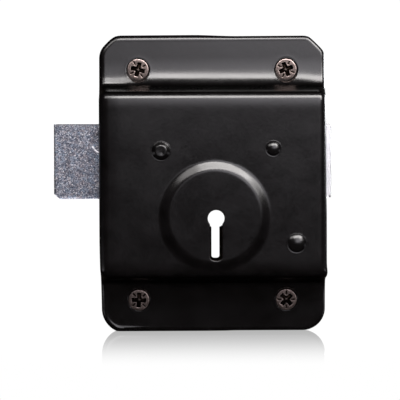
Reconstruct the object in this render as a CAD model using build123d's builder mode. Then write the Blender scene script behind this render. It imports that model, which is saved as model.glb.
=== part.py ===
from build123d import *
from math import cos, hypot, radians, sin, sqrt, tan
import os

os.makedirs("parts", exist_ok=True)

# Axes: X to the right, Z up, and the front of the lock faces -Y.
# The origin is the key axis at the back face, where the lock lies on the door.
# Every depth below is measured from the door towards the front.

# Case pressing
case_width = 76.5
box_foot_height = 65.2  # height of the raised box where it meets the flange
flange_reach = 17.4  # flange above the box, and the same below it
sheet = 1.2
case_corner = 7.5
rim_draft = 3.0  # degrees, all round the case
wall_draft = 8.0  # degrees, top and bottom walls of the box
crown_bend = 1.6  # inner radius, front face into the top and bottom walls
foot_bend = 3.0  # radius on the front, walls into the flange
rim_bend = 0.5  # inner radius, front into the rim
case_x = -1.0  # case centre from the key axis
key_height = 21.6  # key axis above the lower foot of the box

# Boss round the keyhole
boss_x = -0.35
boss_z = 0.6
boss_foot = 18.6  # radius where it leaves the face
boss_rise = 1.6
boss_slope = 45.0  # degrees
boss_blend = 2.0

# Keyholes: the front one fits the key, the back one is freer round its stem
key_round = 2.85
key_slot = 4.0
key_drop = 14.3  # from the key axis to the foot of the slot
key_foot_radius = 0.9
back_key_round = 3.9
back_key_slot = 2.7
back_key_drop = 14.2

# Back plate
plate_thick = 1.2
plate_gap = 0.25
plate_corner = 2.0

# Bolt
bolt_height = 25.0
bolt_thick = 6.0
bolt_z = 18.7  # centre line above the key axis
bolt_throw = 15.0
tip_inset = 0.25  # how far short of the throw the tip stands out
tail_reach = 1.55  # tail past the right end of the case when thrown
bolt_edge = 0.5
tail_corner = 1.0
slide_gap = 0.3
dimple_in = 1.15  # dimple centre, inside the left end of the case
dimple_z = 24.8
dimple_radius = 3.7
dimple_deep = 0.6
talon_width = 11.8
talon_top = 14.5  # above the key axis
talon_corner = 1.5

# Bolt stump, the post that runs in the levers
stump_width = 4.0
stump_height = 3.0
stump_proud = 0.3  # past the front lever
spigot_radius = 1.4
spigot_length = 4.5

# Rivet pillars
left_pillar_in = 21.2  # from the left end of the case
left_pillar_z = 22.1  # above the key axis
right_pillar_in = 18.4  # from the right end
right_pillar_z = 22.8
low_pillar_in = 10.75
low_pillar_z = -8.4
pillar_radius = 2.0
pivot_radius = 2.3
rivet_radius = 1.6
rivet_gap = 0.05
clench_radius = 2.5
flat_head_radius = 3.05
flat_head_top = 2.0
flat_head_rise = 1.0
flat_head_dot = 0.45
pivot_head_radius = 2.8
low_head_radius = 3.2
dome_rise = 1.15

# Levers, stored lifted, with their gates in line with the stump
lever_thick = 1.5
lever_drops = [5.5, 6.8, 6.1]  # degrees down to the left pillar
lever_bellies = [12.6, 11.8, 12.2]  # radius of the belly about the key axis
lever_overlift = 2.0  # degrees
lever_toe = 10.5  # lowest edge above the key axis
lever_toe_right = 10.0
lever_side_gap = 1.2
eye_radius = 5.0
finger_reach = 2.5
finger_thick = 2.4
pocket_wall = 2.0
pocket_gap = 0.5
gate_gap = 0.3
turn_gap = 0.05
rest_gap = 0.05
lever_corner = 0.8
washer_thick = 0.6
washer_radius = 4.2
stack_gap = 0.1

# Lever springs, bent strip
strip_thick = 0.4
strip_width = 1.1
strip_bend = 1.5
strip_x = 5.0
strip_seat = 3.0
strip_rise = 3.2
strip_tip_x = -12.0
strip_hook = 3.5

# Fixing screws, countersunk, with a cross recess
screw_side = 13.25  # from either end of the case
screw_edge = 11.0  # from its top or bottom edge
screw_drop = 0.35  # the four lie this much low
screw_head_radius = 3.55
screw_rim = 0.15
screw_sink = 0.05
screw_neck = 1.6  # under the head
screw_neck_end = 0.4  # behind the door's face
screw_radius = 1.75
screw_core = 1.2
screw_length = 20.0
screw_plain = 6.0
screw_pitch = 1.4
screw_point = 3.0
seat_gap = 0.1
recess_span = 3.7
recess_slot = 0.95
recess_core = 1.9
recess_deep = 1.4
recess_taper = 12.0  # degrees
screw_turns = [-15.0, 21.0, -3.0, 45.0]  # degrees, as driven home

# Depths, from the door to the front
bolt_back = plate_thick + slide_gap
bolt_front = bolt_back + bolt_thick
layer = washer_thick + lever_thick + 2 * stack_gap
washer_backs = [bolt_front + slide_gap + number * layer for number in range(len(lever_drops))]
lever_backs = [washer_back + washer_thick + stack_gap for washer_back in washer_backs]
stump_front = lever_backs[-1] + lever_thick + stump_proud
case_inner = stump_front + slide_gap
case_depth = case_inner + sheet
boss_depth = case_depth + boss_rise
flange_inner = plate_thick + stack_gap
flange_depth = flange_inner + sheet

# Places that follow from the sizes above
case_height = box_foot_height + 2 * flange_reach
case_z = box_foot_height / 2 - key_height
case_left = case_x - case_width / 2
case_right = case_x + case_width / 2
box_front_height = box_foot_height - 2 * (case_depth - flange_depth) * tan(radians(wall_draft))
bolt_left = case_left - bolt_throw + tip_inset
bolt_right = case_right + tail_reach
left_pillar_x = case_left + left_pillar_in
right_pillar_x = case_right - right_pillar_in
low_pillar_x = case_right - low_pillar_in
lever_left = left_pillar_x + pillar_radius + lever_side_gap
stump_x = lever_left + pocket_wall + pocket_gap + stump_width / 2
pillar_places = [
    (left_pillar_x, left_pillar_z),
    (right_pillar_x, right_pillar_z),
    (low_pillar_x, low_pillar_z),
]
plate_width = case_width - 2 * sheet / cos(radians(rim_draft)) - 2 * plate_gap
dimple_sphere = (dimple_radius**2 + dimple_deep**2) / (2 * dimple_deep)
screw_x = case_width / 2 - screw_side
screw_z = case_height / 2 - screw_edge
seat_cup = screw_head_radius + screw_rim + screw_sink + seat_gap
seat_back = seat_cup + sheet * (sqrt(2) - 1)  # outside of the dimple behind the flange
plate_height = 2 * (screw_z - screw_drop - seat_back - plate_gap)
screw_names = [
    "fixing_screw_upper_left",
    "fixing_screw_upper_right",
    "fixing_screw_lower_left",
    "fixing_screw_lower_right",
]
screw_places = [
    (case_x - screw_x, case_z + screw_z - screw_drop),
    (case_x + screw_x, case_z + screw_z - screw_drop),
    (case_x - screw_x, case_z - screw_z - screw_drop),
    (case_x + screw_x, case_z - screw_z - screw_drop),
]


def front(depth, x=0.0, z=0.0):
    """Plane facing the front, depth out from the door, with its centre at x, z."""
    return Plane(origin=(x, -depth, z), x_dir=(1, 0, 0), z_dir=(0, -1, 0))


def upright(x, z):
    """Plane for a turned piece: across it is the radius, up it is the depth."""
    return Plane(origin=(x, 0, z), x_dir=(1, 0, 0), z_dir=(0, 0, -1))


def around(x, z):
    """Axis square to the door through x, z."""
    return Axis((x, 0, z), (0, -1, 0))


def keyhole(round_radius, slot_width, drop, foot_radius):
    """Keyhole sketch: a round with a slot below it."""
    with BuildSketch() as hole:
        Circle(round_radius)
        with Locations((0, -drop / 2)):
            Rectangle(slot_width, drop)
        fillet(hole.vertices().group_by(Axis.Y)[0], foot_radius)
    return hole.sketch


# Case cover
def pressing(inset):
    """The pressed form as a solid block, its skin drawn in by inset."""
    behind = 5.0
    root = 0.8
    half_front = box_front_height / 2
    half_foot = box_foot_height / 2
    half_out = case_height / 2 + behind
    side_inset = inset / cos(radians(rim_draft))
    half_limit = case_height / 2 - inset - 1.0
    boss_top = boss_foot - boss_rise / tan(radians(boss_slope))
    boss_root = boss_foot + root / tan(radians(boss_slope))
    boss_shrink = inset * tan(radians(boss_slope / 2))
    side = Plane(origin=(case_x, 0, case_z), x_dir=(0, -1, 0), z_dir=(-1, 0, 0))
    with BuildPart() as form:
        with BuildSketch(side) as hat:
            with BuildLine():
                Polyline(
                    (-behind, -half_out),
                    (flange_depth, -half_out),
                    (flange_depth, -half_foot),
                    (case_depth, -half_front),
                    (case_depth, half_front),
                    (flange_depth, half_foot),
                    (flange_depth, half_out),
                    (-behind, half_out),
                    close=True,
                )
            make_face()
            crowns = hat.vertices().filter_by(lambda v: v.X > case_depth - 0.1)
            fillet(crowns, crown_bend + sheet)
            feet = hat.vertices().filter_by(
                lambda v: v.X > 0 and abs(abs(v.Y) - half_foot) < 0.1
            )
            fillet(feet, foot_bend)
            if inset > 0:
                offset(amount=-inset, kind=Kind.INTERSECTION, mode=Mode.REPLACE)
        extrude(amount=case_width, both=True)
        with BuildSketch(front(0, case_x, case_z)):
            RectangleRounded(
                case_width - 2 * side_inset,
                case_height - 2 * side_inset,
                case_corner - side_inset,
            )
        extrude(amount=boss_depth, taper=rim_draft, mode=Mode.INTERSECT)
        perimeter = form.edges().filter_by(
            lambda e: e.center().Y < inset - flange_depth + 0.1
            and not (e.length > case_width / 2 and abs(e.center().Z - case_z) < half_limit)
        )
        fillet(perimeter, rim_bend + sheet - inset)
        with Locations(front(case_depth - inset - root, boss_x, boss_z)):
            Cone(
                boss_root - boss_shrink,
                boss_top - boss_shrink,
                boss_rise + root,
                align=(Align.CENTER, Align.CENTER, Align.MIN),
            )
        ring = form.edges().filter_by(
            lambda e: off_boss(e) < boss_foot + root and e.center().Y < inset - case_depth + root
        )
        fillet(ring, boss_blend)
    return form.part


def off_boss(edge):
    """How far the middle of an edge lies from the axis of the boss."""
    middle = edge.position_at(0.5)
    return hypot(middle.X - boss_x, middle.Z - boss_z)


block = pressing(0.0)
hollow = pressing(sheet)
with BuildPart() as case_cover:
    add(block)
    add(hollow, mode=Mode.SUBTRACT)
    # dimples in the flange that take the cone of each screw head
    for x, z in screw_places:
        with Locations(front(0, x, z)):
            Cone(
                seat_back - flange_inner,
                seat_back,
                flange_inner,
                align=(Align.CENTER, Align.CENTER, Align.MIN),
            )
    for x, z in screw_places:
        with Locations(front(flange_depth, x, z)):
            CounterSinkHole(
                screw_radius + seat_gap, seat_cup, depth=flange_depth, counter_sink_angle=90
            )
    # rivet holes
    for x, z in pillar_places:
        with BuildSketch(front(case_inner - sheet, x, z)):
            Circle(rivet_radius + rivet_gap)
        extrude(amount=3 * sheet, mode=Mode.SUBTRACT)
    with BuildSketch(front(case_inner - sheet)):
        add(keyhole(key_round, key_slot, key_drop, key_foot_radius))
    extrude(amount=3 * sheet + boss_rise, mode=Mode.SUBTRACT)
    # the end walls are notched from the back for the bolt
    with BuildSketch(front(0, case_x, bolt_z)):
        Rectangle(2 * case_width, bolt_height + 2 * slide_gap)
    extrude(amount=bolt_front + slide_gap, mode=Mode.SUBTRACT)
case_cover.part.label = "case_cover"
export_step(case_cover.part, "parts/case_cover.step")


# Back plate, riveted inside the rim
with BuildPart() as back_plate:
    with BuildSketch(front(0, case_x, case_z)):
        RectangleRounded(plate_width, plate_height, plate_corner)
    extrude(amount=plate_thick)
    with BuildSketch(front(0)):
        add(keyhole(back_key_round, back_key_slot, back_key_drop, key_foot_radius))
    extrude(amount=plate_thick, mode=Mode.SUBTRACT)
    for x, z in pillar_places:
        with Locations(front(0, x, z)):
            Cone(
                clench_radius + rivet_gap,
                rivet_radius + rivet_gap,
                plate_thick,
                align=(Align.CENTER, Align.CENTER, Align.MIN),
                mode=Mode.SUBTRACT,
            )
back_plate.part.label = "back_plate"
export_step(back_plate.part, "parts/back_plate.step")


# Rivet pillars: each spaces the cover from the back plate and is clenched at both ends
def pillar(name, place, body_radius, head):
    """Turned pillar; head is the outline of its front head as radius and depth points."""
    with BuildPart() as post:
        with BuildSketch(upright(*place)):
            with BuildLine():
                shank = Polyline(
                    (0, 0),
                    (clench_radius, 0),
                    (rivet_radius, plate_thick),
                    (body_radius, plate_thick),
                    (body_radius, case_inner),
                    (rivet_radius, case_inner),
                    (rivet_radius, case_depth),
                    (head[0][0], case_depth),
                )
                if len(head) == 2:
                    top = ThreePointArc(shank @ 1, head[1], (0, case_depth + dome_rise))
                else:
                    top = Polyline(shank @ 1, *head[1:])
                Line(top @ 1, (0, 0))
            make_face()
        revolve(axis=around(*place))
    post.part.label = name
    export_step(post.part, f"parts/{name}.step")


def dome(radius):
    """Points of a domed rivet head: its rim, and one on the way to its crown."""
    sphere = (radius**2 + dome_rise**2) / (2 * dome_rise)
    half = radius / 2
    return [(radius, 0), (half, case_depth + dome_rise - sphere + sqrt(sphere**2 - half**2))]


flat_head = [
    (flat_head_radius, 0),
    (flat_head_top, case_depth + flat_head_rise),
    (flat_head_dot, case_depth + flat_head_rise),
    (0, case_depth + flat_head_rise - flat_head_dot),
]
pillar("pillar_upper_left", pillar_places[0], pillar_radius, flat_head)
pillar("pillar_upper_right", pillar_places[1], pivot_radius, dome(pivot_head_radius))
pillar("pillar_lower_right", pillar_places[2], pillar_radius, dome(low_head_radius))


# Bolt: one flat bar through both ends of the case, slotted for the two upper pillars
with BuildPart() as bolt:
    with BuildSketch(front(bolt_back, (bolt_left + bolt_right) / 2, bolt_z)) as bar:
        Rectangle(bolt_right - bolt_left, bolt_height)
        fillet(bar.vertices().group_by(Axis.X)[-1], tail_corner)
    extrude(amount=bolt_thick)
    rim = bolt.edges().filter_by(lambda e: e.center().Y < -bolt_front + 0.01)
    chamfer(rim, bolt_edge)
    with BuildSketch(front(bolt_back)) as openings:
        for (x, z), radius in zip(pillar_places, (pillar_radius, pivot_radius)):
            with Locations((x - bolt_throw / 2, z)):
                SlotCenterToCenter(bolt_throw, 2 * (radius + slide_gap))
        with Locations((-bolt_throw / 2, talon_top - bolt_height / 2)):
            RectangleRounded(talon_width, bolt_height, talon_corner)
    extrude(amount=bolt_thick, mode=Mode.SUBTRACT)
    with BuildSketch(front(bolt_front, stump_x, bolt_z)):
        Circle(spigot_radius + rivet_gap)
    extrude(amount=-spigot_length - rivet_gap, mode=Mode.SUBTRACT)
    with Locations(front(bolt_front - dimple_deep + dimple_sphere, case_left + dimple_in, dimple_z)):
        Sphere(dimple_sphere, mode=Mode.SUBTRACT)
bolt.part.label = "bolt"
export_step(bolt.part, "parts/bolt.step")


# Stump: a square post with a round spigot pressed into the bolt
with BuildPart() as bolt_stump:
    with BuildSketch(front(bolt_front, stump_x, bolt_z)):
        Rectangle(stump_width, stump_height)
    extrude(amount=stump_front - bolt_front)
    with BuildSketch(front(bolt_front, stump_x, bolt_z)):
        Circle(spigot_radius)
    extrude(amount=-spigot_length)
bolt_stump.part.label = "bolt_stump"
export_step(bolt_stump.part, "parts/bolt_stump.step")


# Levers on the upper right pillar, each with its own drop and belly, a washer behind it,
# and a strip spring from its top edge to the top wall of the case
pivot_x = right_pillar_x
pivot_z = right_pillar_z
for number, (drop, belly) in enumerate(zip(lever_drops, lever_bellies), start=1):
    back = lever_backs[number - 1]
    turn = radians(drop)
    # height of the finger's underside, so that it meets the left pillar when the lever drops
    finger = (
        right_pillar_z
        + pillar_radius
        + rest_gap
        + (right_pillar_x - left_pillar_x) * sin(turn)
        + (left_pillar_z - right_pillar_z) * cos(turn)
    )
    lift = (pivot_x - stump_x) * sin(turn) + stump_height / 2 + pocket_gap
    lift_right = (pivot_x - stump_x - bolt_throw) * sin(turn) + stump_height / 2 + pocket_gap
    sag = (pivot_x - stump_x) * sin(radians(lever_overlift)) + stump_height / 2 + pocket_gap
    pocket_width = stump_width + 2 * pocket_gap
    finger_end = left_pillar_x - finger_reach
    eye_top = pivot_z + eye_radius
    with BuildPart() as lever:
        with BuildSketch(front(back)) as plate:
            with BuildLine():
                Polyline(
                    (finger_end, finger),
                    (finger_end, finger + finger_thick),
                    (pivot_x, eye_top),
                    (pivot_x, pivot_z - eye_radius),
                    (lever_toe_right, lever_toe),
                    (lever_left, lever_toe),
                    (lever_left, finger),
                    close=True,
                )
            make_face()
            fillet(plate.vertices().group_by(Axis.X)[0], lever_corner)
            fillet(plate.vertices().group_by(Axis.Y)[0], lever_corner)
            with Locations((pivot_x, pivot_z)):
                Circle(eye_radius)
                Circle(pivot_radius + turn_gap, mode=Mode.SUBTRACT)
            Circle(belly, mode=Mode.SUBTRACT)
            with Locations((stump_x, bolt_z + (lift - sag) / 2)):
                Rectangle(pocket_width, lift + sag, mode=Mode.SUBTRACT)
            with Locations((stump_x + bolt_throw, bolt_z + (lift_right - sag) / 2)):
                Rectangle(pocket_width, lift_right + sag, mode=Mode.SUBTRACT)
            with Locations((stump_x + bolt_throw / 2, bolt_z)):
                Rectangle(bolt_throw, stump_height + 2 * gate_gap, mode=Mode.SUBTRACT)
            rise = (finger + finger_thick - eye_top) / (pivot_x - finger_end)
            strip_foot = eye_top + rise * (pivot_x - strip_x) - strip_seat
            with Locations((strip_x, strip_foot + strip_seat)):
                Rectangle(strip_thick + 2 * rest_gap, 2 * strip_seat + 2 * rest_gap, mode=Mode.SUBTRACT)
        extrude(amount=lever_thick)
    lever.part.label = f"lever_{number}"
    export_step(lever.part, f"parts/lever_{number}.step")

    strip_back = back + (lever_thick - strip_width) / 2
    wall_at = case_depth - strip_back - strip_width
    roof = (
        case_z
        + box_front_height / 2
        + wall_at * tan(radians(wall_draft))
        - sheet / cos(radians(wall_draft))
        - stack_gap
        - strip_thick / 2
    )
    with BuildPart() as spring:
        with BuildSketch(front(strip_back)):
            with BuildLine():
                FilletPolyline(
                    (strip_x, strip_foot),
                    (strip_x, strip_foot + strip_seat + strip_rise),
                    (strip_tip_x, roof),
                    (strip_tip_x - strip_hook, roof - strip_hook / 2),
                    radius=strip_bend,
                )
            trace(line_width=strip_thick)
        extrude(amount=strip_width)
    spring.part.label = f"lever_spring_{number}"
    export_step(spring.part, f"parts/lever_spring_{number}.step")

    with BuildPart() as washer:
        with BuildSketch(front(washer_backs[number - 1], pivot_x, pivot_z)):
            Circle(washer_radius)
            Circle(pivot_radius + turn_gap, mode=Mode.SUBTRACT)
        extrude(amount=washer_thick)
    washer.part.label = f"pivot_washer_{number}"
    export_step(washer.part, f"parts/pivot_washer_{number}.step")


# Fixing screws, standing in the flange holes as they are driven into the door
head_back = flange_depth - screw_sink - screw_rim - (screw_head_radius - screw_neck)
screw_tip = flange_depth - screw_sink - screw_length
thread_start = head_back - screw_plain
thread_end = screw_tip + screw_point
turns = int((thread_start - thread_end) / screw_pitch)
for name, (x, z), turned in zip(screw_names, screw_places, screw_turns):
    with BuildPart() as screw:
        with BuildSketch(upright(x, z)):
            with BuildLine():
                outline = [
                    (0, flange_depth - screw_sink),
                    (screw_head_radius, flange_depth - screw_sink),
                    (screw_head_radius, flange_depth - screw_sink - screw_rim),
                    (screw_neck, head_back),
                    (screw_radius, -screw_neck_end),
                    (screw_radius, thread_start),
                    (screw_core, thread_start),
                ]
                for step in range(turns):
                    crest = thread_start - (step + 0.5) * screw_pitch
                    outline.append((screw_radius, crest))
                    outline.append((screw_core, crest - screw_pitch / 2))
                outline.append((0, screw_tip))
                Polyline(*outline, close=True)
            make_face()
        revolve(axis=around(x, z))
        with BuildSketch(front(flange_depth - screw_sink, x, z)):
            with Locations(Rotation(0, 0, turned)):
                Rectangle(recess_span, recess_slot)
                Rectangle(recess_slot, recess_span)
                Rectangle(recess_core, recess_core, rotation=45)
        extrude(amount=-recess_deep, taper=recess_taper, mode=Mode.SUBTRACT)
    screw.part.label = name
    export_step(screw.part, f"parts/{name}.step")
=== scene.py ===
import math

import bmesh
import bpy
import numpy as np
from mathutils import Matrix, Vector


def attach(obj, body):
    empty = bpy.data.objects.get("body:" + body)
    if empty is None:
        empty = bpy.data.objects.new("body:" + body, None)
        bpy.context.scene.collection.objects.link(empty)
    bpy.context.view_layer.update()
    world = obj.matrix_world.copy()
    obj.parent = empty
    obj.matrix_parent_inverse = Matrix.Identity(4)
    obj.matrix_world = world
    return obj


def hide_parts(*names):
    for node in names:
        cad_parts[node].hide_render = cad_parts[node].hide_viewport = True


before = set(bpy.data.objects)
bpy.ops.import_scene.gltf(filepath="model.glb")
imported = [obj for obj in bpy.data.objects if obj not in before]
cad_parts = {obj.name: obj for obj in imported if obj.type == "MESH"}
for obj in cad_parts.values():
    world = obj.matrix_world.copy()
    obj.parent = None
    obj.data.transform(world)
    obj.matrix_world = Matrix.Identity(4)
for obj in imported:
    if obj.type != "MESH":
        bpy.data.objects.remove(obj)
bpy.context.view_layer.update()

scene = bpy.context.scene

# Camera: it stands square to the front of the lock, a little to the left of it and above
# its middle, with a long lens. The lock sits low and to the right of the picture's centre.
aim = Vector((-0.001, -0.008, 0.011))
camera_distance = 0.464
camera_azimuth = math.radians(-0.8)
camera_height = math.radians(1.42)
camera_roll = math.radians(-0.17)
camera = bpy.data.objects.new("camera", bpy.data.cameras.new("camera"))
scene.collection.objects.link(camera)
towards = Vector((
    math.sin(camera_azimuth) * math.cos(camera_height),
    -math.cos(camera_azimuth) * math.cos(camera_height),
    math.sin(camera_height),
))
camera.location = aim + camera_distance * towards
turn = (-towards).to_track_quat("-Z", "Y").to_matrix() @ Matrix.Rotation(camera_roll, 3, "Z")
camera.rotation_euler = turn.to_euler()
camera.data.sensor_width = 36.0
camera.data.lens = 124.86
camera.data.shift_x = -0.0315
camera.data.shift_y = -0.0395
camera.data.clip_start = 0.01
scene.camera = camera

# Studio: a pale floor under the lock, a long soft box above and in front of it, smaller ones to
# the left and right, a broad one low behind it on the right, and a dim room that is brighter above
# the camera and low at both sides. The paper behind the lock is plain white.
scene.view_settings.view_transform = "Standard"
floor_level, floor_reach = -0.039, 3.0
lamp_warm, lamp_neutral, lamp_cool = (1.0, 0.965, 0.95), (1.0, 0.97, 0.96), (0.96, 0.98, 1.0)
front_middle = (0.0, 0.0, 0.01)


def tree_node(tree, kind, **inputs):
    """Adds a node to a tree and sets its inputs by name, with spaces written as underscores."""
    made = tree.nodes.new(kind)
    for key, value in inputs.items():
        made.inputs[key.replace("_", " ")].default_value = value
    return made


def eased_step(tree, value, low, high, first, last):
    """Goes smoothly from first to last while the value goes from low to high."""
    made = tree_node(tree, "ShaderNodeMapRange", From_Min=low, From_Max=high, To_Min=first, To_Max=last)
    made.interpolation_type = "SMOOTHSTEP"
    tree.links.new(value, made.inputs["Value"])
    return made.outputs["Result"]


def worked(tree, operation, *terms, kind="ShaderNodeMath"):
    """One math node, or vector math node; each term is a socket, a plain number or a vector."""
    made = tree.nodes.new(kind)
    made.operation = operation
    for place, term in enumerate(terms):
        if isinstance(term, (int, float, tuple)):
            made.inputs[place].default_value = term
        else:
            tree.links.new(term, made.inputs[place])
    return made.outputs[0]


def linked(tree, kind, *sockets):
    """Adds a node, links the sockets to its first inputs in order, and gives its outputs."""
    made = tree.nodes.new(kind)
    for place, socket in enumerate(sockets):
        tree.links.new(socket, made.inputs[place])
    return made.outputs


def coordinates(tree, kind):
    """X, Y and Z of a kind of texture coordinate: Object for a surface, Generated for the sky."""
    place = tree.nodes.new("ShaderNodeTexCoord")
    return linked(tree, "ShaderNodeSeparateXYZ", place.outputs[kind])


def soft_box(name, place, target, width, height, power, colour):
    """Rectangular lamp at a place in metres, facing its target."""
    lamp = bpy.data.lights.new(name, "AREA")
    lamp.shape = "RECTANGLE"
    lamp.size = width
    lamp.size_y = height
    lamp.energy = power
    lamp.color = colour
    holder = bpy.data.objects.new(name, lamp)
    scene.collection.objects.link(holder)
    holder.location = place
    holder.rotation_euler = (Vector(target) - Vector(place)).to_track_quat("-Z", "Y").to_euler()


soft_box("key_box", (0.105, -0.20, 0.27), (0.06, 0.0, 0.03), 0.40, 0.12, 2.25, lamp_warm)
soft_box("left_box", (-0.185, -0.20, 0.27), (-0.11, 0.0, 0.03), 0.18, 0.12, 0.34, lamp_warm)
soft_box("right_box", (0.27, -0.27, 0.22), front_middle, 0.14, 0.2, 0.6, lamp_neutral)
soft_box("back_box", (0.48, 0.38, 0.12), front_middle, 0.45, 0.14, 3.6, lamp_cool)

room = bpy.data.worlds.new("room")
scene.world = room
room.use_nodes = True
sky = room.node_tree
sky.nodes.clear()
aside, ahead, above = coordinates(sky, "Generated")
# a cool sheen over the camera, a little to the right, and a glow that lies low at both sides
off_middle = worked(sky, "ABSOLUTE", worked(sky, "SUBTRACT", aside, 0.24))
sheen = eased_step(sky, above, 0.008, 0.2, 0, 1)
for limit in (
    eased_step(sky, above, 0.5, 0.8, 1, 0),
    eased_step(sky, off_middle, 0.1, 0.55, 1, 0),
    eased_step(sky, ahead, -0.75, -0.35, 1, 0),
):
    sheen = worked(sky, "MULTIPLY", sheen, limit)
far_side = eased_step(sky, worked(sky, "ABSOLUTE", aside), 0.88, 0.96, 0, 1)
side_glow = worked(sky, "MULTIPLY", far_side, eased_step(sky, above, -0.26, -0.1, 1, 0))
cool = tree_node(sky, "ShaderNodeBackground", Color=(0.97, 0.94, 1.0, 1))
sky.links.new(worked(sky, "MULTIPLY_ADD", sheen, 3.5, side_glow), cool.inputs["Strength"])
warm = tree_node(sky, "ShaderNodeBackground", Color=(1.0, 0.84, 0.72, 1))
sky.links.new(eased_step(sky, ahead, -0.7, -0.2, 0.035, 0.01), warm.inputs["Strength"])
paper = tree_node(sky, "ShaderNodeBackground", Color=(1, 1, 1, 1), Strength=1.05)
path = tree_node(sky, "ShaderNodeLightPath").outputs
seen = worked(sky, "MAXIMUM", path["Is Camera Ray"], path["Is Singular Ray"])
dim = linked(sky, "ShaderNodeAddShader", cool.outputs[0], warm.outputs[0])[0]
either = linked(sky, "ShaderNodeMixShader", seen, dim, paper.outputs[0])[0]
linked(sky, "ShaderNodeOutputWorld", either)

floor_mesh = bpy.data.meshes.new("floor")
square = np.array([(-1, -1, 0), (1, -1, 0), (1, 1, 0), (-1, 1, 0)]) * floor_reach + (0, 0, floor_level)
floor_mesh.from_pydata(square.tolist(), [], [(0, 1, 2, 3)])
floor = bpy.data.objects.new("floor", floor_mesh)
scene.collection.objects.link(floor)
floor.visible_glossy = False
pale = bpy.data.materials.new("pale_floor")
pale.use_nodes = True
tree = pale.node_tree
tree.nodes.clear()
glow = tree_node(tree, "ShaderNodeEmission", Color=(1, 1, 1, 1), Strength=1.0)
mirror = tree_node(tree, "ShaderNodeBsdfGlossy", Color=(1, 1, 1, 1), Roughness=0.0)
fade = eased_step(tree, coordinates(tree, "Object")["Y"], -0.08, 0.0, 0.0, 0.53)
blend = linked(tree, "ShaderNodeMixShader", fade, glow.outputs[0], mirror.outputs[0])[0]
linked(tree, "ShaderNodeOutputMaterial", blend)
floor_mesh.materials.append(pale)

# Case cover: one steel sheet pressed into a box with a flange above and below it, its rim
# turned back to the door all round, and a round boss struck up about the keyhole.
# Enamelled satin black. The lengths of the shapes are in millimetres.
case_x, case_z = -1.0, 11.0
half_width, half_height = 38.25, 50.0
flange_depth, case_depth = 2.5, 16.4
sheet = 1.2
wall_lean = math.radians(78.0)
front_flat, crown_run, crown_soft, crown_radius = 24.2, 3.6, math.radians(5.0), 3.7
foot_run, foot_soft, foot_radius = 7.0, math.radians(21.0), 5.9
left_creep, right_creep, even_creep = 1.35, 0.4, -0.2  # how far the foot of the wall is drawn in
flange_swell, end_fall = 0.42, 0.28  # of the flanges by the box, and of the front at its left end
flange_rim, box_rim = {-1: 2.0, 1: 1.5}, {-1: 3.4, 1: 2.8}  # the rim's bend, at the left and right
rim_angle = math.radians(3.0)
rim_lean = math.tan(rim_angle)
corner, corner_hard = 7.5, 4.0
corner_flats = {
    ("left", "upper"): 7.2, ("right", "upper"): 6.75,
    ("left", "lower"): 8.6, ("right", "lower"): 8.6,
}
boss_x, boss_z, boss_top, boss_foot, boss_rise = -0.35, 0.6, 15.0, 18.5, 1.46
key_round, key_half, key_drop, key_foot, key_edge = 2.75, 2.0, 13.9, 1.5, 0.25
notch_low, notch_high, notch_depth = 5.9, 31.5, 7.8
screw_x, screw_z = (-26.0, 24.0), (49.65, -28.35)
screw_places = [(x, z) for z in screw_z for x in screw_x]
seat_radius, seat_depth, steep_from, steeper = 3.8, 2.8, 4.0, 2.5  # countersinks for the screws
lip_radius, lip_width, lip_height, seat_reach = 4.3, 0.4, 0.02, 5.0
rivet_places = [(-18.05, 22.1), (18.85, 22.8), (26.5, -8.4)]


def smooth(value):
    """Smooth step: nought below nought, one above one, and 3v squared less 2v cubed between."""
    v = np.clip(value, 0, 1)
    return v * v * (3 - 2 * v)


def soft_ramp(value):
    """Straight ramp from nought to one whose two ends are eased by short parabolas."""
    v, ease = np.clip(value, 0, 1), 0.22
    start = v**2 / (2 * ease)
    end = 1 - ease - (1 - v) ** 2 / (2 * ease)
    whole = np.where(v < ease, start, np.where(v > 1 - ease, end, v - ease / 2))
    return whole / (1 - ease)


def soft_bend(run, soft, radius):
    """One bend, as distances and rises from where it leaves the flat.

    Over the run the lean grows with the square of the length to the soft lean, and from there it
    grows evenly, on the radius, to the lean of the wall."""
    easing = np.linspace(0, run, 30)
    turning = np.linspace(0, radius * (wall_lean - soft), 30)
    length = np.append(easing, run + turning[1:])
    lean = np.append(soft * (easing / run) ** 2, soft + turning[1:] / radius)
    middle, step = (lean[1:] + lean[:-1]) / 2, np.diff(length)
    return np.append(0, np.cumsum(np.cos(middle) * step)), np.append(0, np.cumsum(np.sin(middle) * step))


crown_out, crown_fall = soft_bend(crown_run, crown_soft, crown_radius)
foot_out, foot_rise = soft_bend(foot_run, foot_soft, foot_radius)
wall_fall = case_depth - flange_depth - crown_fall[-1] - foot_rise[-1]
crown_end = front_flat + crown_out[-1]
foot_end = crown_end + wall_fall / math.tan(wall_lean)
foot_at = foot_end + foot_out[-1]
hat_off = np.concatenate([front_flat + crown_out, foot_at - foot_out[::-1]])
hat_depth = np.concatenate([case_depth - crown_fall, flange_depth + foot_rise[::-1]])


def section(x, z):
    """Depth of the pressing's section: flat front, soft bend, straight wall, soft bend, flange.

    The foot of the wall lies a little out, and creeps in at both ends, more at the left. The flanges lean
    forward a little as they near the box. The front falls off by a parabola at its left end."""
    off = np.abs(z - case_z)
    creep = left_creep * smooth((-22 - x) / 12.5) + right_creep * smooth((x - 28) / 8) + even_creep
    depth = np.interp(off + creep * smooth((off - crown_end) / 3), hat_off, hat_depth)
    towards_box = np.clip((half_height - 1.8 - off) / 10.7, 0, 1)
    depth = depth + flange_swell * towards_box * smooth((off - foot_end) / 3.0)
    fall = end_fall * np.clip((-31 - x) / 5.4, 0, 1.2) ** 2
    return depth - fall * smooth((depth - 8) / 6)


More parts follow.
